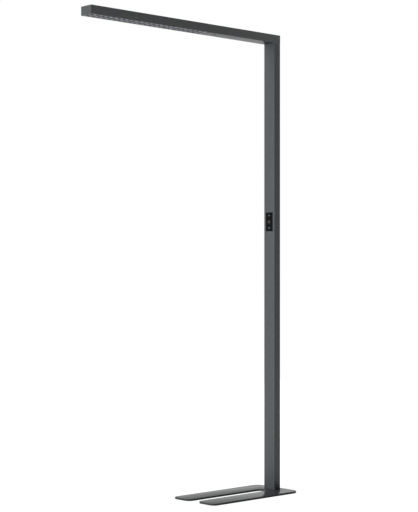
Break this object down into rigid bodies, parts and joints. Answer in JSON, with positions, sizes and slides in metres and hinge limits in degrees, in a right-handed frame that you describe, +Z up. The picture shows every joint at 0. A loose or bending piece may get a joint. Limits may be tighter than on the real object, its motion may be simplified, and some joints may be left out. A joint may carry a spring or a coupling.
{
  "type": "office floor lamp",
  "caption": "Free-standing office lamp: forked flat base that slides round a desk leg, slim rectangular mast with push buttons, long louvred head.",
  "frame": {"origin": "on the mast's axis, at floor level under the anti-slip mat", "axes": "+Z up along the mast, -Y towards the tip of the head and the prongs, X across"},
  "size_m": [0.251, 1.0415, 1.95],
  "materials": {
    "base_paint": "satin",
    "mat_rubber": "matte",
    "zinc_steel": "satin",
    "black_steel": "satin",
    "cast_alloy": "matte",
    "anodised_graphite": "satin",
    "cap_graphite": "satin",
    "black_rubber": "matte",
    "louvre_plastic": "satin",
    "clear_plastic": "gloss",
    "white_board": "satin",
    "led_plastic": "satin",
    "opal_plastic": "satin",
    "cover_metal": "satin",
    "sensor_plastic": "gloss",
    "driver_plastic": "matte",
    "panel_black": "satin",
    "switch_plastic": "matte",
    "green_board": "satin",
    "lead_jacket": "matte"
  },
  "bodies": {
    "stand": {"base_plate": "base_paint", "base_mat": "mat_rubber", "base_screws": "zinc_steel", "mast_foot": "cast_alloy", "mast_tube": "anodised_graphite", "foot_screws": "black_steel", "mast_top_screws": "black_steel", "cable_grommet": "black_rubber", "corner_bracket": "cast_alloy", "bracket_screws": "zinc_steel", "head_profile": "anodised_graphite", "tip_cap": "cap_graphite", "rear_cap": "cap_graphite", "cap_screws": "zinc_steel", "louvre_grid": "louvre_plastic", "lens_sheet": "clear_plastic", "direct_led_boards": "white_board", "direct_leds": "led_plastic", "uplight_boards": "white_board", "uplight_leds": "led_plastic", "top_cover": "opal_plastic", "underside_cover": "cover_metal", "presence_sensor": "sensor_plastic", "led_driver": "driver_plastic", "driver_screws": "zinc_steel", "control_bezel": "panel_black", "tact_switches": "switch_plastic", "control_board": "green_board", "control_cover": "driver_plastic", "panel_screws": "zinc_steel", "supply_lead": "lead_jacket", "control_lead": "lead_jacket"},
    "button_up": {"button_up": "panel_black", "plunger_up": "switch_plastic"},
    "button_power": {"button_power": "panel_black", "plunger_power": "switch_plastic"},
    "button_down": {"button_down": "panel_black", "plunger_down": "switch_plastic"}
  },
  "joints": [
    {"name": "button_up_press", "type": "slide", "parent": "stand", "child": "button_up", "axis": [0, 1, 0], "range_m": [0, 0.0006], "stiffness_N_per_m": 400, "springref_m": -0.001},
    {"name": "button_power_press", "type": "slide", "parent": "stand", "child": "button_power", "axis": [0, 1, 0], "range_m": [0, 0.0006], "stiffness_N_per_m": 400, "springref_m": -0.001},
    {"name": "button_down_press", "type": "slide", "parent": "stand", "child": "button_down", "axis": [0, 1, 0], "range_m": [0, 0.0006], "stiffness_N_per_m": 400, "springref_m": -0.001}
  ]
}
